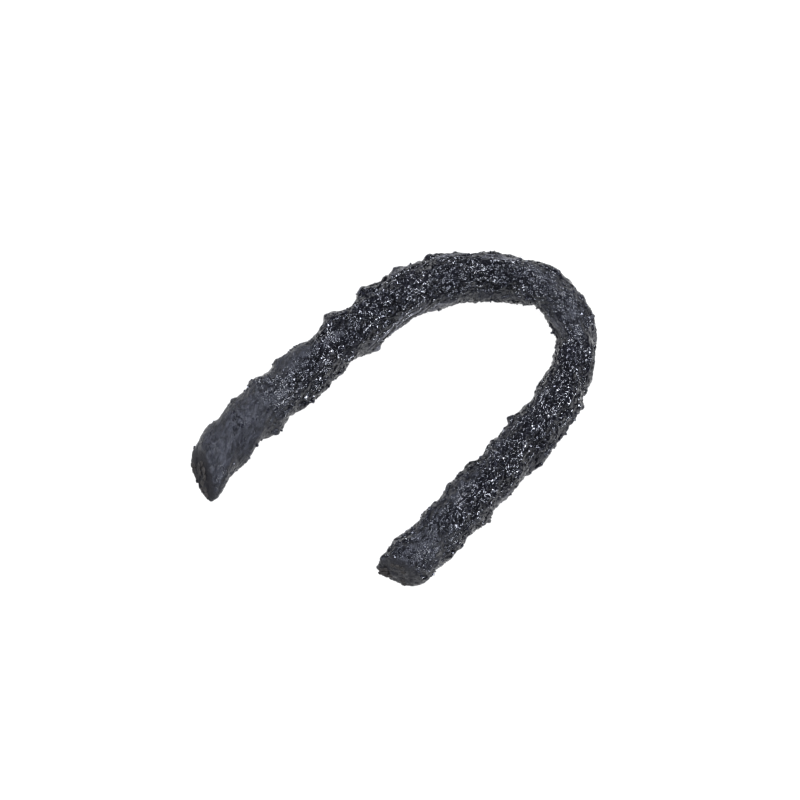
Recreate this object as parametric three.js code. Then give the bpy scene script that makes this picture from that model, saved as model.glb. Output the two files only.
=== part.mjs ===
// A tyre plug strip: a short rope of bonded yarns, soaked and coated in sticky butyl rubber.
// Three plies of seven yarns are laid together, left-handed, inside one rubber coat, and the
// strip is bent into a U that lies flat. Each yarn and the coat is one closed solid.
//
// Millimetres, +Z up. The strip rests on z = 0, its bend towards +Y, its two cut ends towards -Y,
// and the origin is under the middle of its bounding box.

import * as THREE from 'three';

// ---------------------------------------------------------------- driving dimensions

const stripLength = 100; // along the middle of the strip, cut end to cut end
const steps = 54; // slices along the strip, shared by the coat and every yarn

const coatRadius = 2.95; // outside of the coat, midway between a crest and a groove
const coatSides = 18; // facets round the outside of the coat
const crestHeight = 0.2; // how far the coat swells over a ply, and dips between two
const restHeight = 2.83; // height of the strip's middle above the face it rests on

const plyCount = 3;
const plyOffset = 1.27; // middle of the strip to the middle of a ply
const plyLay = -stripLength / 6; // one full turn of the plies round the strip, left-handed
const plyStartAngle = Math.PI / 2; // direction of the first ply at the first cut end

const ringYarnCount = 6; // yarns round the core yarn of each ply
const ringRadius = 0.69; // middle of a ply to the middle of its outer yarns
const yarnLay = 36; // one full turn of a ply's outer yarns, right-handed
const yarnRadius = 0.32;
const yarnSides = 6;

const boreLobeRadius = 1.15; // the coat's hollow round each ply, from the ply's middle
const boreLobePoints = 7; // corners on each lobe of the hollow

const firstLegScale = 1.03; // the leg on -X is a little fuller than the other
const secondLegScale = 0.99;
const bendStretch = 0.14; // share of its thickness that the strip loses in the tight bend
const bendPlace = 0.59; // middle of the tight bend, as a share of the length
const bendSpread = 0.11;

const firstCut = { acrossLean: 0.55, upLean: 0.3 }; // millimetres along, per millimetre off the middle
const secondCut = { acrossLean: 0.4, upLean: 0.18 };
const cutReach = 13; // the lean of a cut has died out this far from the end

// Middle of the strip seen from above, from the cut end on -X, round the bend, to the other.
// The first three and the last three points are in line, so both cut faces are flat.
const route = [
  [-12.48, -24.26], [-12.88, -21.36], [-13.28, -18.46], [-13.44, -14.65],
  [-13.29, -10.84], [-12.99, -7.04], [-12.79, -3.23], [-12.63, 0.57],
  [-12.28, 4.43], [-11.68, 8.13], [-10.65, 11.84], [-8.95, 15.27],
  [-6.63, 18.17], [-3.94, 20.54], [-0.87, 22.45], [2.73, 23.1],
  [6.09, 22.1], [8.79, 20.04], [10.54, 17.04], [11.79, 13.64],
  [12.59, 9.98], [13.1, 6.18], [13.27, 2.37], [13.3, -1.43],
  [13.4, -5.24], [13.53, -9.04], [13.55, -12.64], [13.45, -15],
  [13.35, -17.36],
];

// The larger lumps and dips of the coat: distance along the strip, direction round it in degrees
// (0 is the outer side of the U, 90 is up) and height.
const lumps = [
  [11, 197, 0.3], [12.5, 20, 0.5], [14.5, 17, -0.3], [15.2, 197, 0.4], [17.2, 18, 0.65],
  [19, 197, 0.3], [21.7, 18, -0.3], [23.6, 197, -0.35], [25.7, 18, 0.35], [27.4, 198, 0.6],
  [28.6, 18, -0.3], [30.7, 198, 0.35], [31, 18, 0.25], [34, 199, -0.3], [34.6, 18, 0.55],
  [37, 200, 0.25], [39.5, 20, 0.65], [41.7, 200, 0.25], [45.3, 20, 0.3], [47.5, 202, 0.25],
  [52, 20, 0.25], [53.5, 200, -0.3], [56.3, 12, 0.4], [58.5, 187, 0.2], [62.7, 176, -0.25],
  [69, 348, 0.5], [74, 165, -0.25], [74.5, 344, 0.4], [76.3, 163, 0.55], [79.5, 343, 0.2],
  [81.3, 343, -0.2], [84, 163, 0.25], [87, 343, 0.3], [88, 163, 0.4], [6.4, 60, 0.2],
  [14, 285, 0.3], [23, 250, 0.3], [33, 290, 0.3], [41, 245, 0.3], [50, 290, 0.25],
  [64, 285, 0.25], [70, 235, 0.3], [84, 280, 0.3], [91, 100, 0.2], [97, 20, 0.2],
];
const lumpSpread = 1.3;

// ---------------------------------------------------------------- the strip's curved space

const turn = 2 * Math.PI;
const { clamp, degToRad, lerp, smoothstep } = THREE.MathUtils;

const middleLine = new THREE.CatmullRomCurve3(
  route.map(([x, y]) => new THREE.Vector3(x, y, 0)), false, 'centripetal',
);
middleLine.arcLengthDivisions = 2000;

// A point of the middle line and its direction. Past a cut end the line runs straight on.
function lineAt(distance) {
  const inside = clamp(distance, 0, stripLength);
  const direction = middleLine.getTangentAt(inside / stripLength);
  const point = middleLine.getPointAt(inside / stripLength);
  point.addScaledVector(direction, distance - inside);
  return { point, direction };
}

// How thick the strip is at a distance along it, as a share of its usual thickness.
function thicknessAt(distance) {
  const share = distance / stripLength;
  const leg = lerp(firstLegScale, secondLegScale, smoothstep(share, 0.35, 0.75));
  const fromBend = (share - bendPlace) / bendSpread;
  return leg - bendStretch * Math.exp(-fromBend * fromBend);
}

// How far a leaning cut moves a point along the strip. Both cuts leave the strip longest at the
// inner side of the U and at the rest face.
function cutLean(side, up, distance) {
  const nearFirst = 1 - smoothstep(distance, 0, cutReach);
  const nearSecond = 1 - smoothstep(stripLength - distance, 0, cutReach);
  const first = firstCut.acrossLean * side + firstCut.upLean * up;
  const second = secondCut.acrossLean * side + secondCut.upLean * up;
  return first * nearFirst - second * nearSecond;
}

// From a place in the straight strip (to the side, up, along) to the bent strip.
function bend(side, up, distance) {
  const scale = thicknessAt(distance);
  const lean = cutLean(side * scale, up * scale, distance);
  const { point, direction } = lineAt(distance + lean);
  return new THREE.Vector3(
    point.x - direction.y * side * scale,
    point.y + direction.x * side * scale,
    (restHeight + up) * scale,
  );
}

// A straight prism of the outline, whose corners placeCorner moves within each slice.
function bentPrism(outline, placeCorner) {
  const prism = new THREE.ExtrudeGeometry(outline, {
    depth: stripLength, steps, bevelEnabled: false,
  });
  const corners = prism.attributes.position;
  const corner = new THREE.Vector3();
  for (let i = 0; i < corners.count; i += 1) {
    corner.fromBufferAttribute(corners, i);
    const { x, y } = placeCorner(corner);
    const bent = bend(x, y, corner.z);
    corners.setXYZ(i, bent.x, bent.y, bent.z);
  }
  prism.computeVertexNormals();
  return prism;
}

// ---------------------------------------------------------------- how the plies and yarns are laid

function polar(radius, angle) {
  return new THREE.Vector2(radius * Math.cos(angle), radius * Math.sin(angle));
}

function plyAngle(ply, distance) {
  return plyStartAngle + (turn * ply) / plyCount + (turn * distance) / plyLay;
}

function plyMiddle(ply, distance) {
  return polar(plyOffset, plyAngle(ply, distance));
}

function ringYarnMiddle(ply, yarn, distance) {
  const angle = (turn * yarn) / ringYarnCount + (turn * distance) / yarnLay;
  return plyMiddle(ply, distance).add(polar(ringRadius, angle));
}

// ---------------------------------------------------------------- outlines across the strip

function regularOutline(radius, sides, firstAngle) {
  return Array.from({ length: sides }, (_, i) => polar(radius, firstAngle + (turn * i) / sides));
}

// Three arcs, one round each ply as it lies at the first cut end, that meet in a cusp between
// each two plies.
function boreOutline() {
  const halfGap = turn / plyCount / 2;
  const cuspRadius = plyOffset * Math.cos(halfGap)
    + Math.sqrt(boreLobeRadius ** 2 - (plyOffset * Math.sin(halfGap)) ** 2);
  const cusp = polar(cuspRadius, halfGap);
  const cuspAngle = Math.atan2(cusp.y, cusp.x - plyOffset);
  const middle = new THREE.Vector2();
  const outline = [];
  for (let ply = 0; ply < plyCount; ply += 1) {
    for (let i = 0; i < boreLobePoints; i += 1) {
      const angle = -cuspAngle + (2 * cuspAngle * i) / boreLobePoints;
      const onLobe = polar(boreLobeRadius, angle).add(new THREE.Vector2(plyOffset, 0));
      outline.push(onLobe.rotateAround(middle, plyAngle(ply, 0)));
    }
  }
  return outline;
}

// ---------------------------------------------------------------- sub-parts

const rubber = { color: 0x2b2b31, roughness: 0.6, metalness: 0 };
const soakedYarn = { color: 0x2e2826, roughness: 0.85, metalness: 0 };

function namedMesh(name, geometry, look) {
  const mesh = new THREE.Mesh(geometry, new THREE.MeshStandardMaterial(look));
  mesh.name = name;
  return mesh;
}

// How far the lumps and dips near a place move the coat's surface outwards.
function lumpHeight(angle, distance) {
  return lumps.reduce((sum, [middle, degrees, height]) => {
    const turned = angle - degToRad(degrees);
    const across = coatRadius * Math.atan2(Math.sin(turned), Math.cos(turned));
    const away = Math.hypot(distance - middle, across) / lumpSpread;
    return sum + height * Math.exp(-away * away);
  }, 0);
}

// The coat swells over each ply, and is pressed flat on the rest face along its two lowest corners.
function placeOuterCorner(corner) {
  const angle = Math.atan2(corner.y, corner.x);
  const crest = crestHeight * Math.cos(plyCount * (angle - plyAngle(0, corner.z)));
  const placed = polar(coatRadius + crest + lumpHeight(angle, corner.z), angle);
  const lowest = Math.abs(angle + Math.PI / 2) < turn / coatSides;
  placed.y = lowest ? -restHeight : Math.max(placed.y, -restHeight);
  return placed;
}

// The coat's hollow turns with the plies.
function placeBoreCorner(corner) {
  const turned = plyAngle(0, corner.z) - plyAngle(0, 0);
  return new THREE.Vector2(corner.x, corner.y).rotateAround(new THREE.Vector2(), turned);
}

function makeCoat() {
  const outside = regularOutline(coatRadius, coatSides, turn / coatSides / 2 - Math.PI / 2);
  const outline = new THREE.Shape(outside);
  outline.holes.push(new THREE.Path(boreOutline()));
  const geometry = bentPrism(outline, (corner) => {
    const outer = Math.hypot(corner.x, corner.y) > (coatRadius + plyOffset + boreLobeRadius) / 2;
    return outer ? placeOuterCorner(corner) : placeBoreCorner(corner);
  });
  return namedMesh('butyl_coat', geometry, rubber);
}

function makeYarn(name, middleAt) {
  const outline = new THREE.Shape(regularOutline(yarnRadius, yarnSides, 0));
  const geometry = bentPrism(outline, (corner) => middleAt(corner.z).add(corner));
  return namedMesh(name, geometry, soakedYarn);
}

function makePly(ply, letter) {
  const group = new THREE.Group();
  group.add(makeYarn(`ply_${letter}_core_yarn`, (distance) => plyMiddle(ply, distance)));
  for (let yarn = 0; yarn < ringYarnCount; yarn += 1) {
    const name = `ply_${letter}_outer_yarn_${yarn + 1}`;
    group.add(makeYarn(name, (distance) => ringYarnMiddle(ply, yarn, distance)));
  }
  return group;
}

// ---------------------------------------------------------------- the whole strip

const strip = new THREE.Group();
strip.add(makeCoat());
['a', 'b', 'c'].forEach((letter, ply) => strip.add(makePly(ply, letter)));

export default strip;
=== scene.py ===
"""A tyre plug strip bent into a U: its rough butyl coat, the soaked yarns in it, and a studio.

Every piece is shaped on a straight strip first, in millimetres. A place is given as side (across),
up, and along (the distance from the first cut end). bend() then takes it to the bent strip, in
metres. Angles round the section run from side towards up.
"""

import math

import bmesh
import bpy
import numpy as np
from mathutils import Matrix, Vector


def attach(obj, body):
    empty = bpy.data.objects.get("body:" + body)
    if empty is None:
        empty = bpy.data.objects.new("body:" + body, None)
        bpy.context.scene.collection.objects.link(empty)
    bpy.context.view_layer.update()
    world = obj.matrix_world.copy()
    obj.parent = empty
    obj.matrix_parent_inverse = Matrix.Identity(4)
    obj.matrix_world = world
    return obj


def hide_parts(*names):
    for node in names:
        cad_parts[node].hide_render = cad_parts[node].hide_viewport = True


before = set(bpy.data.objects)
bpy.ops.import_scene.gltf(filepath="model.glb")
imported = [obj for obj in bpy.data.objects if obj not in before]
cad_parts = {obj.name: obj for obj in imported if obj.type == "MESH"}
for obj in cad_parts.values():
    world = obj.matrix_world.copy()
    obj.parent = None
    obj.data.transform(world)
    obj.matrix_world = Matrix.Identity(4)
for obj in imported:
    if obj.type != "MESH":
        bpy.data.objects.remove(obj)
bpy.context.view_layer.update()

MM = 0.001
TURN = 2 * math.pi

# ---------------------------------------------------------------- the strip, as in the CAD model

STRIP_LENGTH = 100.0
COAT_RADIUS = 2.95
CREST_HEIGHT = 0.2
REST_HEIGHT = 2.83
PLY_COUNT = 3
PLY_OFFSET = 1.27
PLY_LAY = -STRIP_LENGTH / 6
PLY_START_ANGLE = math.pi / 2
RING_YARNS = 6
RING_RADIUS = 0.69
YARN_LAY = 36.0
YARN_RADIUS = 0.32
FIRST_LEG_SCALE = 1.03
SECOND_LEG_SCALE = 0.99
LEG_CHANGE = (0.35, 0.75)  # where the one becomes the other, as shares of the length
BEND_STRETCH = 0.14  # how much thinner the strip is at the bend
BEND_PLACE = 0.59
BEND_SPREAD = 0.11
FIRST_CUT = (0.55, 0.3)  # lean across and lean up, in millimetres along per millimetre
SECOND_CUT = (0.4, 0.18)
CUT_REACH = 13.0  # how far from a cut end the strip leans with its cut

# The middle of the strip seen from above, in metres, from the cut end on -X to the other.
ROUTE = [
    (-0.01248, -0.02426), (-0.01288, -0.02136), (-0.01328, -0.01846), (-0.01344, -0.01465),
    (-0.01329, -0.01084), (-0.01299, -0.00704), (-0.01279, -0.00323), (-0.01263, 0.00057),
    (-0.01228, 0.00443), (-0.01168, 0.00813), (-0.01065, 0.01184), (-0.00895, 0.01527),
    (-0.00663, 0.01817), (-0.00394, 0.02054), (-0.00087, 0.02245), (0.00273, 0.0231),
    (0.00609, 0.0221), (0.00879, 0.02004), (0.01054, 0.01704), (0.01179, 0.01364),
    (0.01259, 0.00998), (0.0131, 0.00618), (0.01327, 0.00237), (0.0133, -0.00143),
    (0.0134, -0.00524), (0.01353, -0.00904), (0.01355, -0.01264), (0.01345, -0.015),
    (0.01335, -0.01736),
]
LINE_SAMPLES = 120  # between two points of the route


def rounded_line(points):
    """A centripetal Catmull-Rom curve through the points, as a dense list of points."""
    points = np.array(points)
    before = 2 * points[0] - points[1]
    after = 2 * points[-1] - points[-2]
    padded = np.vstack([before, points, after])
    share = np.linspace(0, 1, LINE_SAMPLES, endpoint=False)[:, None]
    stretches = []
    for p0, p1, p2, p3 in zip(padded, padded[1:], padded[2:], padded[3:]):
        steps = (p1 - p0, p2 - p1, p3 - p2)
        gap0, gap1, gap2 = (math.sqrt(np.linalg.norm(step)) for step in steps)
        leave = ((p1 - p0) / gap0 - (p2 - p0) / (gap0 + gap1) + (p2 - p1) / gap1) * gap1
        arrive = ((p2 - p1) / gap1 - (p3 - p1) / (gap1 + gap2) + (p3 - p2) / gap2) * gap1
        square = -3 * p1 + 3 * p2 - 2 * leave - arrive
        cube = 2 * p1 - 2 * p2 + leave + arrive
        stretches.append(p1 + leave * share + square * share**2 + cube * share**3)
    return np.vstack(stretches + [points[-1:]])


LINE = rounded_line(ROUTE)
LINE_GAPS = np.linalg.norm(np.diff(LINE, axis=0), axis=1)
LINE_AT = np.concatenate([[0], np.cumsum(LINE_GAPS)])
LINE_AT *= STRIP_LENGTH / LINE_AT[-1]
LINE_WAY = np.gradient(LINE, LINE_AT, axis=0)
LINE_WAY /= np.linalg.norm(LINE_WAY, axis=1)[:, None]


def smoothstep(value, low, high):
    """A smooth rise from 0 at low to 1 at high."""
    share = np.clip((value - low) / (high - low), 0, 1)
    return share * share * (3 - 2 * share)


def line_at(along):
    """The middle line's x and y and its direction. Past a cut end the line runs straight on."""
    inside = np.clip(along, 0, STRIP_LENGTH)
    x, y = (np.interp(inside, LINE_AT, LINE[:, i]) for i in (0, 1))
    way_x, way_y = (np.interp(inside, LINE_AT, LINE_WAY[:, i]) for i in (0, 1))
    beyond = (along - inside) * MM
    return x + way_x * beyond, y + way_y * beyond, way_x, way_y


def thickness_at(along):
    """How thick the strip is, as a share of its usual thickness."""
    share = along / STRIP_LENGTH
    to_second = smoothstep(share, *LEG_CHANGE)
    leg = FIRST_LEG_SCALE + (SECOND_LEG_SCALE - FIRST_LEG_SCALE) * to_second
    return leg - BEND_STRETCH * np.exp(-(((share - BEND_PLACE) / BEND_SPREAD) ** 2))


def cut_lean(side, up, along):
    """How far the leaning cuts move a point along the strip."""
    near_first = 1 - smoothstep(along, 0, CUT_REACH)
    near_second = 1 - smoothstep(STRIP_LENGTH - along, 0, CUT_REACH)
    first = FIRST_CUT[0] * side + FIRST_CUT[1] * up
    second = SECOND_CUT[0] * side + SECOND_CUT[1] * up
    return first * near_first - second * near_second


def bend(side, up, along):
    """From places on the straight strip, in millimetres, to points on the bent one, in metres."""
    scale = thickness_at(along)
    x, y, way_x, way_y = line_at(along + cut_lean(side * scale, up * scale, along))
    across = side * scale * MM
    height = np.maximum(REST_HEIGHT + up, 0) * scale * MM
    return np.stack([x - way_y * across, y + way_x * across, height], axis=-1)


def ply_angle(ply, along):
    """The direction of a ply's middle, which turns as the plies are laid round the strip."""
    return PLY_START_ANGLE + TURN * ply / PLY_COUNT + TURN * along / PLY_LAY


def ply_middle(ply, along):
    angle = ply_angle(ply, along)
    return PLY_OFFSET * np.cos(angle), PLY_OFFSET * np.sin(angle)


def yarn_middle(ply, yarn, along):
    """The middle of a yarn: yarn 0 is the core of its ply, and 1 to 6 lie round it."""
    side, up = ply_middle(ply, along)
    if yarn == 0:
        return side, up
    angle = TURN * (yarn - 1) / RING_YARNS + TURN * along / YARN_LAY
    return side + RING_RADIUS * np.cos(angle), up + RING_RADIUS * np.sin(angle)


# ---------------------------------------------------------------- camera

CAMERA_AZIMUTH = 43
CAMERA_ELEVATION = 65
CAMERA_DISTANCE = 0.3504
CAMERA_TARGET = Vector((-0.00276, 0.00049, 0.0))
CAMERA_LENS = 127.9  # on a 36 mm sensor


def direction(azimuth, elevation):
    """Away from the origin; azimuth 0 is towards -Y and 90 towards +X, in degrees."""
    azimuth, elevation = math.radians(azimuth), math.radians(elevation)
    flat = math.cos(elevation)
    return Vector((math.sin(azimuth) * flat, -math.cos(azimuth) * flat, math.sin(elevation)))


def make_camera():
    data = bpy.data.cameras.new("camera")
    data.lens = CAMERA_LENS
    data.clip_start = 0.01
    camera = bpy.data.objects.new("camera", data)
    towards = direction(CAMERA_AZIMUTH, CAMERA_ELEVATION)
    camera.location = CAMERA_TARGET + towards * CAMERA_DISTANCE
    camera.rotation_euler = towards.to_track_quat("Z", "Y").to_euler()
    bpy.context.scene.collection.objects.link(camera)
    bpy.context.scene.camera = camera


# ---------------------------------------------------------------- noise

def lattice_random(cell, seed, count):
    """Random numbers from 0 to 1 for whole-number cells, the same at every run."""
    mixed = cell.astype(np.int64) @ np.array([374761393, 668265263, 1274126177])
    numbers = []
    for i in range(count):
        h = (mixed + (seed * 31 + i) * 2246822519) & 0xFFFFFFFF
        h = ((h ^ (h >> 15)) * 2246822507) & 0xFFFFFFFF
        h = ((h ^ (h >> 13)) * 3266489909) & 0xFFFFFFFF
        numbers.append(((h ^ (h >> 16)) & 0xFFFFFF) / 0xFFFFFF)
    return np.stack(numbers, axis=-1)


def neighbour_steps(low, high):
    """The steps from a cell to the cells round it."""
    steps = range(low, high + 1)
    return [np.array([i, j, k]) for i in steps for j in steps for k in steps]


NOISE_GAIN = 1.6  # takes gradient noise to about -1 to 1
GRAIN_LEAST_RADIUS = 0.45  # of a cell
GRAIN_RADIUS_RANGE = 0.5


def smooth_noise(points, size, seed):
    """Gradient noise from about -1 to 1 that changes over the given size."""
    scaled = points / size
    cell = np.floor(scaled)
    inside = scaled - cell
    fade = inside**3 * (inside * (inside * 6 - 15) + 10)
    total = np.zeros(points.shape[:-1])
    for step in neighbour_steps(0, 1):
        slope = lattice_random(cell + step, seed, 3) * 2 - 1
        weight = np.prod(np.where(step == 1, fade, 1 - fade), axis=-1)
        total += weight * np.sum(slope * (inside - step), axis=-1)
    return total * NOISE_GAIN


def rough_noise(points, size, seed, octaves=3):
    """Several sizes of smooth noise on top of each other."""
    return sum(smooth_noise(points, size / 2**i, seed + i) / 2**i for i in range(octaves))


def grain_noise(points, size, seed):
    """The height of round grains of random size packed in a layer, from 0 to 1."""
    scaled = points / size
    cell = np.floor(scaled)
    height = np.zeros(points.shape[:-1])
    for step in neighbour_steps(-1, 1):
        place = lattice_random(cell + step, seed, 4)
        away = np.sum((cell + step + place[..., :3] - scaled) ** 2, axis=-1)
        radius = GRAIN_LEAST_RADIUS + GRAIN_RADIUS_RANGE * place[..., 3]
        height = np.maximum(height, radius * np.sqrt(np.clip(1 - away / radius**2, 0, 1)))
    return height


# ---------------------------------------------------------------- the coat's surface

COAT_SLICES = 770
COAT_AROUND = 124
CUT_LOOPS = 10  # loops of points over each cut face
SKIN_DROP = 0.05  # the grains stand on a skin this far below the nominal radius
WIDE_SWELL = 0.14
NARROW_SWELL = 0.12
SWELL_PRESSED_FLAT = 0.5  # the share of the swells that is lost where the coat is pressed smooth
RIM_ROUNDING = 1.0
RIM_ROUNDNESS = 0.95  # 1 would be a full quarter of a circle
CUT_DARKNESS = (1.0, 0.55)  # of the first cut face and of the second, from 0 to 1
CUT_SHADE_REACH = 0.7  # how far the darkness runs on round the rim
CUT_DOME = 0.3
DRAG_HEIGHT = 0.16
DRAG_SHORTENING = 0.4  # of distances up the cut face, which draws the knife's drags out
TEAR_HEIGHT = 0.34
FULL_PAINTED_SHADE_DEPTH = 0.22  # from this depth of the grit on, a crevice gets the full painted shade
CUT_FACE_PAINTED_SHADE = 0.4  # how much painted crevice shade the cut faces get, from 0 to 1

# The larger lumps and dips, as in the CAD model: distance along, direction in degrees and height.
LUMPS = [
    (11, 197, 0.3), (12.5, 20, 0.5), (14.5, 17, -0.3), (15.2, 197, 0.4), (17.2, 18, 0.65),
    (19, 197, 0.3), (21.7, 18, -0.3), (23.6, 197, -0.35), (25.7, 18, 0.35), (27.4, 198, 0.6),
    (28.6, 18, -0.3), (30.7, 198, 0.35), (31, 18, 0.25), (34, 199, -0.3), (34.6, 18, 0.55),
    (37, 200, 0.25), (39.5, 20, 0.65), (41.7, 200, 0.25), (45.3, 20, 0.3), (47.5, 202, 0.25),
    (52, 20, 0.25), (53.5, 200, -0.3), (56.3, 12, 0.4), (58.5, 187, 0.2), (62.7, 176, -0.25),
    (69, 348, 0.5), (74, 165, -0.25), (74.5, 344, 0.4), (76.3, 163, 0.55), (79.5, 343, 0.2),
    (81.3, 343, -0.2), (84, 163, 0.25), (87, 343, 0.3), (88, 163, 0.4), (6.4, 60, 0.2),
    (14, 285, 0.3), (23, 250, 0.3), (33, 290, 0.3), (41, 245, 0.3), (50, 290, 0.25),
    (64, 285, 0.25), (70, 235, 0.3), (84, 280, 0.3), (91, 100, 0.2), (97, 20, 0.2),
]
LUMP_SPREAD = 1.3

# Sharper knobs of rubber: distance along, direction in degrees, height and radius.
KNOBS = [
    (9.2, 24, 0.2, 0.7), (10.9, 198, 0.4, 0.55), (12.4, 8, 0.25, 0.8), (16.6, 30, 0.3, 0.8),
    (17.6, 6, 0.25, 0.6), (19.2, 205, 0.2, 0.7), (21.2, 190, 0.25, 0.6), (25.2, 30, 0.25, 0.7),
    (26.2, 8, 0.25, 0.6), (27.9, 200, 0.35, 0.6), (30.6, 22, 0.3, 0.9), (34.0, 12, 0.3, 0.6),
    (35.4, 24, 0.3, 0.7), (39.2, 14, 0.3, 0.7), (40.2, 30, 0.2, 0.6), (42.3, 20, 0.2, 0.5),
    (45.0, 12, 0.2, 0.6), (52.4, 20, 0.2, 0.7), (54.4, 199, 0.35, 0.6), (56.4, 8, 0.25, 0.8),
    (59.4, 186, 0.35, 0.6), (64.6, 168, 0.2, 0.7), (68.9, 346, 0.4, 0.5), (73.2, 344, 0.25, 0.6),
    (75.1, 348, 0.25, 0.6), (75.9, 160, 0.35, 0.7), (77.2, 168, 0.25, 0.6), (79.4, 340, 0.25, 0.6),
    (83.6, 160, 0.2, 0.7), (87.2, 342, 0.25, 0.6), (87.8, 165, 0.25, 0.7), (92.4, 352, 0.2, 0.8),
    (20.6, 100, 0.2, 0.8), (33.4, 95, 0.2, 0.9), (47.4, 112, 0.2, 0.7), (66.2, 70, 0.25, 0.8),
    (81.0, 88, 0.2, 0.8), (29.6, 262, 0.2, 0.8), (49.6, 300, 0.25, 0.8), (71.4, 222, 0.25, 0.8),
]
KNOB_RAGGEDNESS = 0.35

# Stretches where release film has pressed the coat smooth: distance, direction in degrees, half
# length in millimetres, half width in degrees, and how smooth it is.
SMOOTH_PATCHES = [
    (5.5, 95, 9.0, 150, 0.85), (17.8, 56, 3.6, 38, 0.95), (24.0, 92, 2.4, 14, 0.45),
    (46.0, 172, 7.0, 18, 0.5), (53.0, 70, 4.0, 24, 0.5), (59.0, 98, 1.1, 24, 0.8),
    (57.5, 150, 5.5, 20, 0.5), (57.5, 85, 5.5, 60, 0.42), (70.0, 122, 5.0, 18, 0.3),
    (78.5, 132, 6.0, 18, 0.4), (88.0, 124, 7.5, 28, 0.5), (97.0, 82, 5.0, 72, 0.5),
    (30.0, 290, 9.0, 35, 0.6), (74.0, 255, 9.0, 30, 0.6),
]
# Stretches where the yarns show through as fine ridges, with painted highlights along them, given
# in the same way.
THREADED_PATCHES = [
    (33.0, 182, 7.5, 26, 1.0), (39.0, 42, 4.5, 16, 0.7), (46.5, 52, 3.5, 16, 0.6),
    (60.5, 150, 3.5, 22, 0.5), (12.0, 120, 4.0, 22, 0.15), (21.5, 140, 3.0, 22, 0.3),
    (83.0, 352, 3.5, 16, 0.45), (66.0, 200, 8.0, 25, 0.3), (20.0, 310, 7.0, 25, 0.6),
]
THREAD_SPACING = 0.58
THREAD_HEIGHT = 0.13
THREAD_WANDER = 0.35
THREAD_LEAN = -0.27  # millimetres round the strip per millimetre along it
PATCH_RAGGEDNESS = 0.3  # of both kinds of patches

# Layers of grains: height and size in millimetres, the height that counts as level, and a seed.
GRAIN_LAYERS = [(0.34, 0.62, 0.55, 7), (0.22, 0.38, 0.5, 9)]
GRAIN_SHORTENING = 0.55  # of distances along the threads, which draws the grains out
GRIT_LOST_IN_THREADS = 0.85
FINE_HEIGHT = 0.05  # of the finest texture, which is everywhere
FINE_HEIGHT_IN_GRIT = 0.025  # and this much more where there is grit
PIT_DEPTH = 0.2
DIMPLE = (59.0, 98, 1.25, 0.3)  # distance, direction in degrees, radius and depth
DIMPLE_RIM = (1.05, 0.25, 0.35)  # its place and width in radii, and its height in depths


def angle_gap(angle, degrees):
    """How far an angle is from a direction given in degrees, the short way round."""
    return (angle - math.radians(degrees) + math.pi) % TURN - math.pi


def on_cylinder(along, angle):
    """The place on a plain round strip, for noise to be taken at."""
    along, angle = np.broadcast_arrays(along, angle)
    return np.stack([along, COAT_RADIUS * np.cos(angle), COAT_RADIUS * np.sin(angle)], axis=-1)


def along_threads(along, angle):
    """The same, turned with the threads and shortened along them, so that grains are drawn out."""
    along, angle = np.broadcast_arrays(along, angle)
    turned = angle - THREAD_LEAN * along / COAT_RADIUS
    return np.stack([GRAIN_SHORTENING * along, COAT_RADIUS * np.cos(turned),
                     COAT_RADIUS * np.sin(turned)], axis=-1)


def distance_from(along, angle, middle, degrees):
    """How far a place on the coat is from a given one, over the coat, in millimetres."""
    return np.hypot(along - middle, angle_gap(angle, degrees) * COAT_RADIUS)


def patchwork(along, angle, patches, seed):
    """0 to 1: how much one of the patches covers a place. Their edges are ragged."""
    cover = np.zeros(np.broadcast(along, angle).shape)
    for middle, degrees, half_length, half_width, strength in patches:
        reach = ((along - middle) / half_length) ** 2
        reach = reach + (angle_gap(angle, degrees) / math.radians(half_width)) ** 2
        cover = np.maximum(cover, strength * np.exp(-(reach**2)))
    ragged = rough_noise(on_cylinder(along, angle), size=1.6, seed=seed)
    return np.clip(cover + PATCH_RAGGEDNESS * ragged * np.sqrt(cover), 0, 1)


def smoothness(along, angle):
    """1 where the coat is pressed smooth, 0 where it is all grit."""
    return patchwork(along, angle, SMOOTH_PATCHES, seed=11)


def thread_cover(along, angle):
    """1 where the yarns show through the coat."""
    return patchwork(along, angle, THREADED_PATCHES, seed=15)


def lump_height(along, angle):
    """The larger lumps and dips, added up."""
    height = np.zeros(np.broadcast(along, angle).shape)
    for middle, degrees, tall in LUMPS:
        away = distance_from(along, angle, middle, degrees) / LUMP_SPREAD
        height += tall * np.exp(-(away**2))
    return height


def knob_height(along, angle):
    """The knobs, of which the tallest at a place counts."""
    height = np.zeros(np.broadcast(along, angle).shape)
    for middle, degrees, tall, radius in KNOBS:
        away = distance_from(along, angle, middle, degrees) / radius
        height = np.maximum(height, tall * (1 - smoothstep(away, 0.2, 1.2)))
    return height


def dimple_depth(along, angle):
    """A round hollow with a low rim."""
    middle, degrees, radius, depth = DIMPLE
    away = distance_from(along, angle, middle, degrees) / radius
    rim_place, rim_width, rim_height = DIMPLE_RIM
    rim = np.exp(-(((away - rim_place) / rim_width) ** 2))
    return depth * (1 - smoothstep(away, 0.3, 1.0)) - rim_height * depth * rim


def thread_lines(along, angle):
    """-1 to 1 across threads that wander a little."""
    wander = THREAD_WANDER * smooth_noise(on_cylinder(along, angle), size=3.0, seed=19)
    across = COAT_RADIUS * angle - THREAD_LEAN * along + wander
    return np.cos(TURN * across / THREAD_SPACING)


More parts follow.
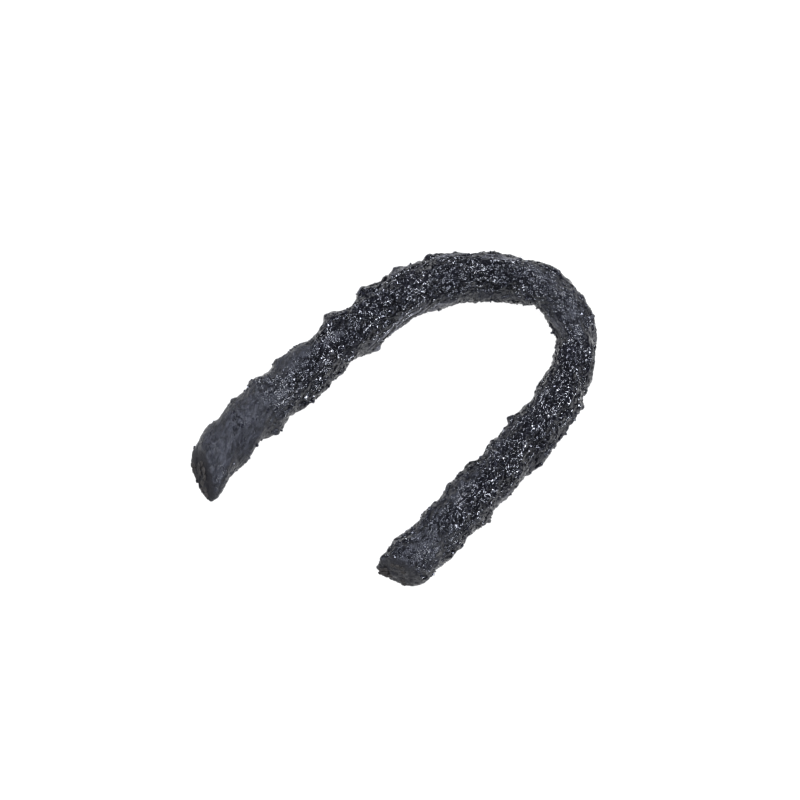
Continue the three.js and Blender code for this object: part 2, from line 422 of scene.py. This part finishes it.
def grit_height(along, angle):
    """The height of the grit over the coat's lumps, in millimetres."""
    place = on_cylinder(along, angle)
    drawn_out = along_threads(along, angle)
    threads = thread_cover(along, angle)
    grit = (1 - smoothness(along, angle)) * (1 - GRIT_LOST_IN_THREADS * threads)
    grains = 0
    for height, size, level, seed in GRAIN_LAYERS:
        grains = grains + height * grit * (grain_noise(drawn_out, size, seed) - level)
    fine = (FINE_HEIGHT + FINE_HEIGHT_IN_GRIT * grit) * smooth_noise(drawn_out, size=0.34, seed=13)
    hollows = smooth_noise(place, size=0.9, seed=17)
    pits = -PIT_DEPTH * grit * smoothstep(hollows, 0.4, 0.8)
    return grains + fine + pits + THREAD_HEIGHT * threads * thread_lines(along, angle)


def coat_radius(along, angle, grit):
    """The outside of the coat, from the middle of the strip, in millimetres."""
    place = on_cylinder(along, angle)
    crest = CREST_HEIGHT * np.cos(PLY_COUNT * (angle - ply_angle(0, along)))
    ragged = 1 - KNOB_RAGGEDNESS + KNOB_RAGGEDNESS * grain_noise(place, size=0.9, seed=23)
    swells = WIDE_SWELL * rough_noise(place, size=3.0, seed=3, octaves=2)
    swells += NARROW_SWELL * rough_noise(place, size=1.2, seed=5, octaves=2)
    swells *= 1 - SWELL_PRESSED_FLAT * smoothness(along, angle)
    radius = COAT_RADIUS - SKIN_DROP + crest + swells + grit
    radius += lump_height(along, angle) + knob_height(along, angle) * ragged
    radius -= dimple_depth(along, angle)
    from_cut = np.minimum(along, STRIP_LENGTH - along)
    rounding = 1 - np.clip(from_cut / RIM_ROUNDING, 0, 1)
    return radius - RIM_ROUNDING * (1 - np.sqrt(1 - RIM_ROUNDNESS * rounding**2))


# ---------------------------------------------------------------- meshes

def add_piece(name, points, faces, material, smooth=True):
    """A mesh that rides on the one body of the strip."""
    mesh = bpy.data.meshes.new(name)
    mesh.from_pydata(points.reshape(-1, 3).tolist(), [], faces)
    if smooth:
        mesh.shade_smooth()
    mesh.materials.append(material)
    piece = bpy.data.objects.new(name, mesh)
    bpy.context.scene.collection.objects.link(piece)
    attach(piece, "root")
    return piece


def tube_faces(rows, around):
    """Four-cornered faces between rows of points, and one face to close each end."""
    row = np.arange(rows - 1)[:, None]
    column = np.arange(around)[None, :]
    next_column = (column + 1) % around
    corners = (
        row * around + column,
        row * around + next_column,
        (row + 1) * around + next_column,
        (row + 1) * around + column,
    )
    walls = np.stack(np.broadcast_arrays(*corners), axis=-1).reshape(-1, 4).tolist()
    first_end = list(range(around))[::-1]
    last_end = list(range((rows - 1) * around, rows * around))
    return walls + [first_end, last_end]


def cut_bulge(side, up, seed):
    """How far a cut face stands out: a knife's drags, small tears, and more in the middle."""
    drags = np.stack([side, up * DRAG_SHORTENING, np.zeros_like(side)], axis=-1)
    tears = np.stack([side, up, np.zeros_like(side)], axis=-1)
    rough = DRAG_HEIGHT * rough_noise(drags, size=1.5, seed=seed)
    rough = rough + TEAR_HEIGHT * (grain_noise(tears, size=0.6, seed=seed + 5) - 0.5)
    return rough + CUT_DOME * (1 - np.hypot(side, up) / COAT_RADIUS)


def make_coat(material):
    """The rubber's outer skin, closed by loops of points over both cut faces."""
    angle = np.linspace(0, TURN, COAT_AROUND, endpoint=False)[None, :]
    along = np.linspace(0, STRIP_LENGTH, COAT_SLICES)[:, None]
    grit = grit_height(along, angle)
    outside = coat_radius(along, angle, grit)
    inward = np.linspace(1, 0, CUT_LOOPS + 2)[1:-1, None]
    first_cut = inward[::-1] * outside[:1]
    second_cut = inward * outside[-1:]
    radius = np.vstack([first_cut, outside, second_cut])
    side = radius * np.cos(angle)
    up = radius * np.sin(angle)
    distance = np.zeros_like(radius)
    distance[CUT_LOOPS:-CUT_LOOPS] = along
    distance[-CUT_LOOPS:] = STRIP_LENGTH
    distance[:CUT_LOOPS] -= cut_bulge(side[:CUT_LOOPS], up[:CUT_LOOPS], seed=41)
    distance[-CUT_LOOPS:] += cut_bulge(side[-CUT_LOOPS:], up[-CUT_LOOPS:], seed=51)
    coat = add_piece("coat", bend(side, up, distance), tube_faces(len(radius), COAT_AROUND),
                     material)
    smooth = np.zeros_like(radius)
    smooth[CUT_LOOPS:-CUT_LOOPS] = smoothness(along, angle)
    # Painted shade: the colour goes dark in the hollows of the grit, and partly on the cut faces.
    painted_crevice_shade = np.full_like(radius, CUT_FACE_PAINTED_SHADE)
    painted_crevice_shade[CUT_LOOPS:-CUT_LOOPS] = smoothstep(-grit, 0.0, FULL_PAINTED_SHADE_DEPTH)
    threads = np.zeros_like(radius)
    threads[CUT_LOOPS:-CUT_LOOPS] = thread_cover(along, angle)
    cut = np.where(distance < STRIP_LENGTH / 2, *CUT_DARKNESS)
    from_cut = np.minimum(along, STRIP_LENGTH - along)
    cut[CUT_LOOPS:-CUT_LOOPS] *= 1 - smoothstep(from_cut, 0.0, CUT_SHADE_REACH)
    values_by_name = {"smoothness": smooth, "threads": threads, "painted_crevice_shade": painted_crevice_shade, "cut": cut}
    for name, values in values_by_name.items():
        layer = coat.data.attributes.new(name, "FLOAT", "POINT")
        layer.data.foreach_set("value", values.ravel().astype(np.float32))
    layer = coat.data.attributes.new("along_threads", "FLOAT_VECTOR", "POINT")
    drawn_out = along_threads(distance, angle)
    drawn_out *= (radius / COAT_RADIUS)[..., None] ** np.array([0, 1, 1])
    layer.data.foreach_set("vector", drawn_out.ravel().astype(np.float32))
    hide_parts("butyl_coat")
    return coat


YARN_SIDES = 15
YARN_SLICES = 150
FILAMENT_RIDGES = 5
FILAMENT_LAY = 5.0
RIDGE_HEIGHT = 0.05  # of the yarn's radius
LONGEST_STUB = 0.3  # how far a yarn's end may stand out of a cut face
YARN_RAGGEDNESS = 0.1
YARN_END_RADII = (0.1, 0.5, 0.85)  # how a yarn rounds off at its end


def make_yarn(ply, yarn, material, random):
    """One soaked yarn: low twisted ridges of filaments, and two ragged cut ends."""
    letter = "abc"[ply]
    node = f"ply_{letter}_core_yarn" if yarn == 0 else f"ply_{letter}_outer_yarn_{yarn}"
    angle = np.linspace(0, TURN, YARN_SIDES, endpoint=False)[None, :]
    first_stub, last_stub = random.uniform(0.0, LONGEST_STUB, 2)
    along = np.linspace(-first_stub, STRIP_LENGTH + last_stub, YARN_SLICES)[:, None]
    twist = FILAMENT_RIDGES * (angle + TURN * along / FILAMENT_LAY)
    radius = YARN_RADIUS * (1 - RIDGE_HEIGHT + RIDGE_HEIGHT * np.cos(twist))
    ends = np.array(YARN_END_RADII)[:, None]
    radius = np.vstack([radius[:1] * ends, radius, radius[-1:] * ends[::-1]])
    ragged = random.uniform(0.0, YARN_RAGGEDNESS, (len(YARN_END_RADII), YARN_SIDES))
    whole = along * np.ones((1, YARN_SIDES))
    distance = np.vstack([whole[:1] - ragged, whole, whole[-1:] + ragged])
    middle_side, middle_up = yarn_middle(ply, yarn, distance)
    side = middle_side + radius * np.cos(angle)
    up = middle_up + radius * np.sin(angle)
    piece = add_piece(f"yarn_{letter}{yarn}", bend(side, up, distance),
                      tube_faces(len(radius), YARN_SIDES), material)
    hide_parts(node)
    return piece


def twenty_faces():
    """The corners, on a unit ball, and the triangles of an icosahedron."""
    ball = bmesh.new()
    bmesh.ops.create_icosphere(ball, subdivisions=1, radius=1.0)
    points = np.array([corner.co for corner in ball.verts])
    faces = np.array([[corner.index for corner in face.verts] for face in ball.faces])
    ball.free()
    return points, faces


CRUMB_TRIES = 7000
CRUMB_SHARE = 0.45  # of the tries that stay where all is grit, before they are clumped
CRUMB_SIZE = (0.09, 0.27)  # radius, in millimetres
CRUMB_SMALLNESS = 2.5  # the higher this is, the more of them are small
CRUMB_MARGIN = 0.4  # from a cut end
CRUMB_STRETCH = (0.6, 1.25)
CRUMB_DENTS = (0.7, 1.12)
CRUMB_SINK = 0.1  # of its size
BARE_UNDERSIDE = 38  # degrees either side of straight down


def make_crumbs(material, random):
    """Grit stuck on the coat: small angular crumbs, half sunk in it, thick where it is rough."""
    along = random.uniform(CRUMB_MARGIN, STRIP_LENGTH - CRUMB_MARGIN, CRUMB_TRIES)
    angle = random.uniform(0, TURN, CRUMB_TRIES)
    size = random.uniform(0, 1, CRUMB_TRIES) ** CRUMB_SMALLNESS
    size = CRUMB_SIZE[0] + (CRUMB_SIZE[1] - CRUMB_SIZE[0]) * size
    clumps = rough_noise(on_cylinder(along, angle), size=2.2, seed=61, octaves=2)
    gritty = (1 - smoothness(along, angle)) * (1 - thread_cover(along, angle))
    keep = random.uniform(0, 1, CRUMB_TRIES) < gritty * (CRUMB_SHARE + clumps)
    keep &= np.abs(angle_gap(angle, 270)) > math.radians(BARE_UNDERSIDE)
    along, angle, size = along[keep], angle[keep], size[keep]
    ball, faces = twenty_faces()
    count = len(along)
    spin, _ = np.linalg.qr(random.normal(size=(count, 3, 3)))
    stretch = random.uniform(*CRUMB_STRETCH, (count, 1, 3))
    dents = random.uniform(*CRUMB_DENTS, (count, len(ball), 1))
    crumbs = (ball[None] * stretch * dents) @ spin * size[:, None, None]
    surface = coat_radius(along, angle, grit_height(along, angle)) - CRUMB_SINK * size
    side = (surface * np.cos(angle))[:, None] + crumbs[..., 0]
    up = (surface * np.sin(angle))[:, None] + crumbs[..., 1]
    distance = along[:, None] + crumbs[..., 2]
    shift = np.arange(count)[:, None, None] * len(ball)
    not_mirrored = (np.linalg.det(spin) > 0)[:, None, None]
    all_faces = np.where(not_mirrored, faces[None], faces[None, :, ::-1]) + shift
    return add_piece("grit", bend(side, up, distance), all_faces.reshape(-1, 3).tolist(),
                     material, smooth=False)


HAIR_SIDES = 5
HAIR_SLICES = 12
HAIR_RADIUS = 0.03
HAIR_ROOT = 0.1  # how deep in the coat it starts
HAIR_LEAN = 0.7
HAIR_SWAY = 0.3
HAIR_CURL = 0.12
HAIR_TAPER = 0.6
# Loose filaments: distance along, direction in degrees, length and lean along the strip.
HAIRS = [
    (9.0, 170, 1.1, 0.8), (22.5, 15, 0.9, -0.7), (36.5, 200, 1.3, 0.5), (49.0, 20, 0.8, 0.9),
    (54.6, 172, 1.5, 0.7), (58.4, 178, 1.2, -0.4), (62.0, 165, 1.0, 0.8), (77.0, 340, 1.0, -0.6),
    (83.5, 158, 0.9, 0.7), (95.0, 20, 0.8, 0.6),
]


def make_hairs(material, random):
    """Filaments that have worked out of the yarns and stand off the coat."""
    round_angle = np.linspace(0, TURN, HAIR_SIDES, endpoint=False)[None, :]
    share = np.linspace(0, 1, HAIR_SLICES)[:, None]
    points = []
    faces = []
    for middle, degrees, length, lean in HAIRS:
        angle = math.radians(degrees) + HAIR_SWAY * share * random.uniform(-1, 1)
        along = middle + HAIR_LEAN * lean * length * share
        start = coat_radius(np.array(middle), np.array(math.radians(degrees)), 0.0) - HAIR_ROOT
        curl = HAIR_CURL * np.sin(share * random.uniform(4, 8))
        radius = start + (0.25 + 0.55 * share) * length * share + curl
        thin = HAIR_RADIUS * (1 - HAIR_TAPER * share)
        side = radius * np.cos(angle) + thin * np.cos(round_angle)
        up = radius * np.sin(angle) + thin * np.sin(round_angle)
        first = len(points) * HAIR_SLICES * HAIR_SIDES
        points.append(bend(side, up, np.broadcast_to(along, side.shape)))
        tube = tube_faces(HAIR_SLICES, HAIR_SIDES)
        faces.extend([first + corner for corner in face] for face in tube)
    return add_piece("loose_filaments", np.array(points), faces, material)


# ---------------------------------------------------------------- materials

class Nodes:
    """A short way to add and join shader nodes."""

    def __init__(self, name):
        self.material = bpy.data.materials.new(name)
        self.material.use_nodes = True
        self.tree = self.material.node_tree
        self.shader = self.tree.nodes["Principled BSDF"]

    def add(self, kind, **settings):
        node = self.tree.nodes.new(kind)
        for key, value in settings.items():
            setattr(node, key, value)
        return node

    def join(self, start, end):
        self.tree.links.new(start, end)

    def places(self):
        """Object coordinates in millimetres."""
        place = self.add("ShaderNodeTexCoord")
        scale = self.add("ShaderNodeVectorMath", operation="SCALE")
        scale.inputs["Scale"].default_value = 1 / MM
        self.join(place.outputs["Object"], scale.inputs[0])
        return scale.outputs[0]

    def stretched(self, places, shares):
        """Places multiplied by a share along each axis."""
        node = self.add("ShaderNodeVectorMath", operation="MULTIPLY")
        node.inputs[1].default_value = shares
        self.join(places, node.inputs[0])
        return node.outputs[0]

    def attribute(self, name, output="Fac"):
        return self.add("ShaderNodeAttribute", attribute_name=name).outputs[output]

    def noise(self, places, per_mm, detail=3.0, roughness=0.6):
        node = self.add("ShaderNodeTexNoise")
        node.inputs["Scale"].default_value = per_mm
        node.inputs["Detail"].default_value = detail
        node.inputs["Roughness"].default_value = roughness
        self.join(places, node.inputs["Vector"])
        return node.outputs["Fac"]

    def ramp(self, value, *stops):
        """Stops are (position, grey or colour)."""
        node = self.add("ShaderNodeValToRGB")
        elements = node.color_ramp.elements
        for i, (position, colour) in enumerate(stops):
            element = elements[i] if i < 2 else elements.new(position)
            element.position = position
            rgb = (colour,) * 3 if isinstance(colour, float) else colour
            element.color = (*rgb, 1)
        self.join(value, node.inputs["Fac"])
        return node.outputs["Color"]

    def mix(self, share, first, second):
        """Each of the two is a grey, a colour or the output of a node."""
        node = self.add("ShaderNodeMix", data_type="RGBA")
        self.join(share, node.inputs["Factor"])
        for name, given in (("A", first), ("B", second)):
            if isinstance(given, float):
                given = (given,) * 3
            if isinstance(given, tuple):
                node.inputs[name].default_value = (*given, 1)
            else:
                self.join(given, node.inputs[name])
        return node.outputs["Result"]

    def facets(self, places, per_mm, tilt, normal):
        """Turn the normal at random in each small cell, like the faces of broken grains."""
        cells = self.add("ShaderNodeTexVoronoi")
        cells.inputs["Scale"].default_value = per_mm
        self.join(places, cells.inputs["Vector"])
        turned = self.add("ShaderNodeVectorMath", operation="MULTIPLY_ADD")
        turned.inputs[1].default_value = (2 * tilt,) * 3
        self.join(cells.outputs["Color"], turned.inputs[0])
        centred = self.add("ShaderNodeVectorMath", operation="SUBTRACT")
        centred.inputs[1].default_value = (tilt,) * 3
        self.join(normal, centred.inputs[0])
        self.join(centred.outputs[0], turned.inputs[2])
        unit = self.add("ShaderNodeVectorMath", operation="NORMALIZE")
        self.join(turned.outputs[0], unit.inputs[0])
        return unit.outputs[0]

    def bump(self, height, depth_mm, strength):
        node = self.add("ShaderNodeBump")
        node.inputs["Strength"].default_value = strength
        node.inputs["Distance"].default_value = depth_mm * MM
        self.join(height, node.inputs["Height"])
        return node.outputs["Normal"]


# Painted shade for the hollows of the grit.
CREVICE_SHADE_BLACK = (0.004, 0.004, 0.005)
CUT_BROWN = (0.004, 0.0032, 0.0035)
COOL_SHEEN = (0.84, 0.87, 1.0, 1.0)


def rubber_colour(n, places, drawn_out, streaks):
    """Near black with a cool cast: flecked where pressed, with painted highlights as pale lines
    where yarns show, and painted shade in the hollows of the grit.
    """
    mottling = n.noise(places, per_mm=0.55, detail=4.0)
    gritty = n.ramp(mottling, (0.32, (0.003, 0.003, 0.004)), (0.7, (0.0065, 0.0065, 0.0095)))
    flecks = n.noise(drawn_out, per_mm=2.2, detail=4.0, roughness=0.7)
    pressed = n.ramp(flecks, (0.42, (0.0005, 0.0005, 0.001)), (0.58, (0.016, 0.0165, 0.022)))
    # Painted highlights: pale streaks in the colour where the yarns show, far brighter than the
    # yarns' own near-black brown.
    painted_thread_highlights = n.ramp(streaks, (0.48, (0.0005, 0.0005, 0.001)), (0.62, (0.11, 0.11, 0.125)))
    coated = n.mix(n.attribute("smoothness"), gritty, pressed)
    coated = n.mix(n.attribute("threads"), coated, painted_thread_highlights)
    # Painted shade: the hollows of the grit are darkened in the colour.
    shaded = n.mix(n.attribute("painted_crevice_shade"), coated, CREVICE_SHADE_BLACK)
    return n.mix(n.attribute("cut"), shaded, CUT_BROWN)


def rubber_roughness(n, places):
    """Glossy grains with dull ones between them. Pressed patches and cut faces are dull."""
    speckle = n.noise(places, per_mm=3.2)
    gritty = n.ramp(speckle, (0.36, 0.06), (0.52, 0.12), (0.62, 0.45))
    pressed = n.ramp(speckle, (0.35, 0.3), (0.64, 0.65))
    coated = n.mix(n.attribute("smoothness"), gritty, pressed)
    return n.mix(n.attribute("cut"), coated, 0.8)


def rubber_wetness(n, places):
    """Threads and clusters of grains are wet with solvent, and glint. The rest is dry."""
    drops = n.ramp(n.noise(places, per_mm=3.2), (0.46, 1.0), (0.6, 0.0))
    clusters = n.ramp(n.noise(places, per_mm=0.3, detail=2.0), (0.42, 0.1), (0.56, 0.8))
    gritty = n.mix(drops, 0.0, clusters)
    coated = n.mix(n.attribute("threads"), gritty, 0.6)
    coated = n.mix(n.attribute("smoothness"), coated, 0.0)
    return n.mix(n.attribute("cut"), coated, 0.0)


def rubber_normal(n, drawn_out, streaks):
    """Broken grains drawn out along the threads, lines where the yarns show, and smooth patches."""
    surface = n.add("ShaderNodeNewGeometry").outputs["Normal"]
    faceted = n.facets(drawn_out, per_mm=3.9, tilt=0.6, normal=surface)
    lined = n.bump(streaks, depth_mm=0.4, strength=1.0)
    dents = n.noise(drawn_out, per_mm=2.4, detail=4.0, roughness=0.7)
    soft = n.bump(dents, depth_mm=0.3, strength=0.8)
    pressed = n.facets(drawn_out, per_mm=3.0, tilt=0.3, normal=soft)
    coated = n.mix(n.attribute("threads"), faceted, lined)
    coated = n.mix(n.attribute("smoothness"), coated, pressed)
    return n.mix(n.attribute("cut"), coated, soft)


def rubber_material():
    """Tacky uncured butyl."""
    n = Nodes("butyl_rubber")
    places = n.places()
    drawn_out = n.attribute("along_threads", "Vector")
    streaks = n.noise(n.stretched(drawn_out, (0.07, 1, 1)), per_mm=2.4, detail=1.0)
    n.join(rubber_colour(n, places, drawn_out, streaks), n.shader.inputs["Base Color"])
    n.join(rubber_roughness(n, places), n.shader.inputs["Roughness"])
    n.join(rubber_wetness(n, places), n.shader.inputs["Coat Weight"])
    normal = rubber_normal(n, drawn_out, streaks)
    n.join(normal, n.shader.inputs["Normal"])
    n.join(normal, n.shader.inputs["Coat Normal"])
    n.shader.inputs["Specular IOR Level"].default_value = 0.34
    n.shader.inputs["Coat Roughness"].default_value = 0.06
    n.shader.inputs["Coat IOR"].default_value = 1.5
    n.shader.inputs["Specular Tint"].default_value = COOL_SHEEN
    return n.material


def grit_material():
    """The crumbs: the same rubber, a little paler, and glossy all over."""
    n = Nodes("rubber_grit")
    places = n.places()
    mottling = n.noise(places, per_mm=1.7)
    colour = n.ramp(mottling, (0.35, (0.004, 0.0042, 0.007)), (0.7, (0.016, 0.0165, 0.024)))
    n.join(colour, n.shader.inputs["Base Color"])
    wetness = n.noise(places, per_mm=2.3, detail=2.0)
    n.join(n.ramp(wetness, (0.38, 0.1), (0.66, 0.35)), n.shader.inputs["Roughness"])
    n.shader.inputs["Specular Tint"].default_value = COOL_SHEEN
    return n.material


def yarn_material():
    """Yarn soaked through with rubber: near-black brown, dull, with fine filament streaks."""
    n = Nodes("soaked_yarn")
    places = n.places()
    streaks = n.noise(places, per_mm=6.0, detail=5.0, roughness=0.7)
    n.join(n.ramp(streaks, (0.3, (0.006, 0.005, 0.005)), (0.72, (0.026, 0.022, 0.021))),
           n.shader.inputs["Base Color"])
    n.join(n.ramp(streaks, (0.3, 0.5), (0.7, 0.8)), n.shader.inputs["Roughness"])
    n.shader.inputs["Specular IOR Level"].default_value = 0.35
    fuzz = n.bump(n.noise(places, per_mm=12.0), depth_mm=0.05, strength=0.6)
    n.join(fuzz, n.shader.inputs["Normal"])
    return n.material


# ---------------------------------------------------------------- studio

FLOOR_SIZE = 6.0
FLOOR_GREY = 0.12
FLOOR_GLOW = 0.93
FLOOR_DROP = 0.00003  # the strip stands this far above it, so that the two never share a plane
# Brightness of the room by height, from the horizon (0) to straight up (1).
ROOM = [(0.0, 0.5), (0.25, 0.4), (0.6, 0.1), (1.0, 0.05)]
# Softboxes: azimuth and elevation in degrees, and distance in metres.
SOFTBOXES = [(-35, 62, 0.62), (75, 50, 0.7), (190, 48, 0.7), (130, 38, 0.8)]
SOFTBOX_WIDTH = 0.1
SOFTBOX_POWER = 0.9
# Small lamps in a ring, alternately low and high, which the grains glint with.
RING_LAMPS = 12
RING_ELEVATIONS = (38, 66)
RING_DISTANCE = 0.6
RING_LAMP_WIDTH = 0.035
RING_LAMP_POWER = 0.85
LAMP_COLOUR = (0.92, 0.945, 1.0)


def floor_material():
    """A white light table, which leaves almost no shadow."""
    n = Nodes("floor")
    n.shader.inputs["Base Color"].default_value = (FLOOR_GREY, FLOOR_GREY, FLOOR_GREY, 1)
    n.shader.inputs["Roughness"].default_value = 0.9
    n.shader.inputs["Specular IOR Level"].default_value = 0.1
    n.shader.inputs["Emission Color"].default_value = (1, 1, 1, 1)
    n.shader.inputs["Emission Strength"].default_value = FLOOR_GLOW
    return n.material


def make_floor():
    """The white table under the strip, which is scenery and no part of it."""
    bpy.ops.mesh.primitive_plane_add(size=FLOOR_SIZE, location=(0, 0, -FLOOR_DROP))
    floor = bpy.context.object
    floor.name = "floor"
    floor.data.materials.append(floor_material())


def make_lamp(name, azimuth, elevation, distance, width, power):
    data = bpy.data.lights.new(name, "AREA")
    data.size = width
    data.energy = power
    data.color = LAMP_COLOUR
    light = bpy.data.objects.new(name, data)
    towards = direction(azimuth, elevation)
    light.location = towards * distance
    light.rotation_euler = towards.to_track_quat("Z", "Y").to_euler()
    bpy.context.scene.collection.objects.link(light)


def make_lights():
    """Four softboxes, and the ring of small lamps."""
    for number, softbox in enumerate(SOFTBOXES):
        make_lamp(f"softbox_{number}", *softbox, SOFTBOX_WIDTH, SOFTBOX_POWER)
    for number in range(RING_LAMPS):
        make_lamp(f"ring_lamp_{number}", 360 * number / RING_LAMPS, RING_ELEVATIONS[number % 2],
                  RING_DISTANCE, RING_LAMP_WIDTH, RING_LAMP_POWER)


def make_room():
    """A white room that is darker overhead."""
    world = bpy.data.worlds.new("white_room")
    world.use_nodes = True
    tree = world.node_tree
    place = tree.nodes.new("ShaderNodeTexCoord")
    split = tree.nodes.new("ShaderNodeSeparateXYZ")
    ramp = tree.nodes.new("ShaderNodeFloatCurve")
    tree.links.new(place.outputs["Generated"], split.inputs[0])
    curve = ramp.mapping.curves[0]
    ramp.mapping.use_clip = False
    for i, (height, brightness) in enumerate(ROOM):
        point = curve.points[i] if i < 2 else curve.points.new(height, brightness)
        point.location = (height, brightness)
    ramp.mapping.update()
    tree.links.new(split.outputs["Z"], ramp.inputs["Value"])
    tree.links.new(ramp.outputs["Value"], tree.nodes["Background"].inputs["Strength"])
    bpy.context.scene.world = world


# ---------------------------------------------------------------- the whole scene

RANDOM_SEED = 20


def main():
    make_camera()
    random = np.random.default_rng(RANDOM_SEED)
    rubber = rubber_material()
    yarn_look = yarn_material()
    coat = make_coat(rubber)
    grit = make_crumbs(grit_material(), random)
    hairs = make_hairs(yarn_look, random)
    yarns = [
        make_yarn(ply, yarn, yarn_look, random)
        for ply in range(PLY_COUNT)
        for yarn in range(RING_YARNS + 1)
    ]
    make_floor()
    make_lights()
    make_room()
    bpy.context.scene.view_settings.view_transform = "Standard"


main()
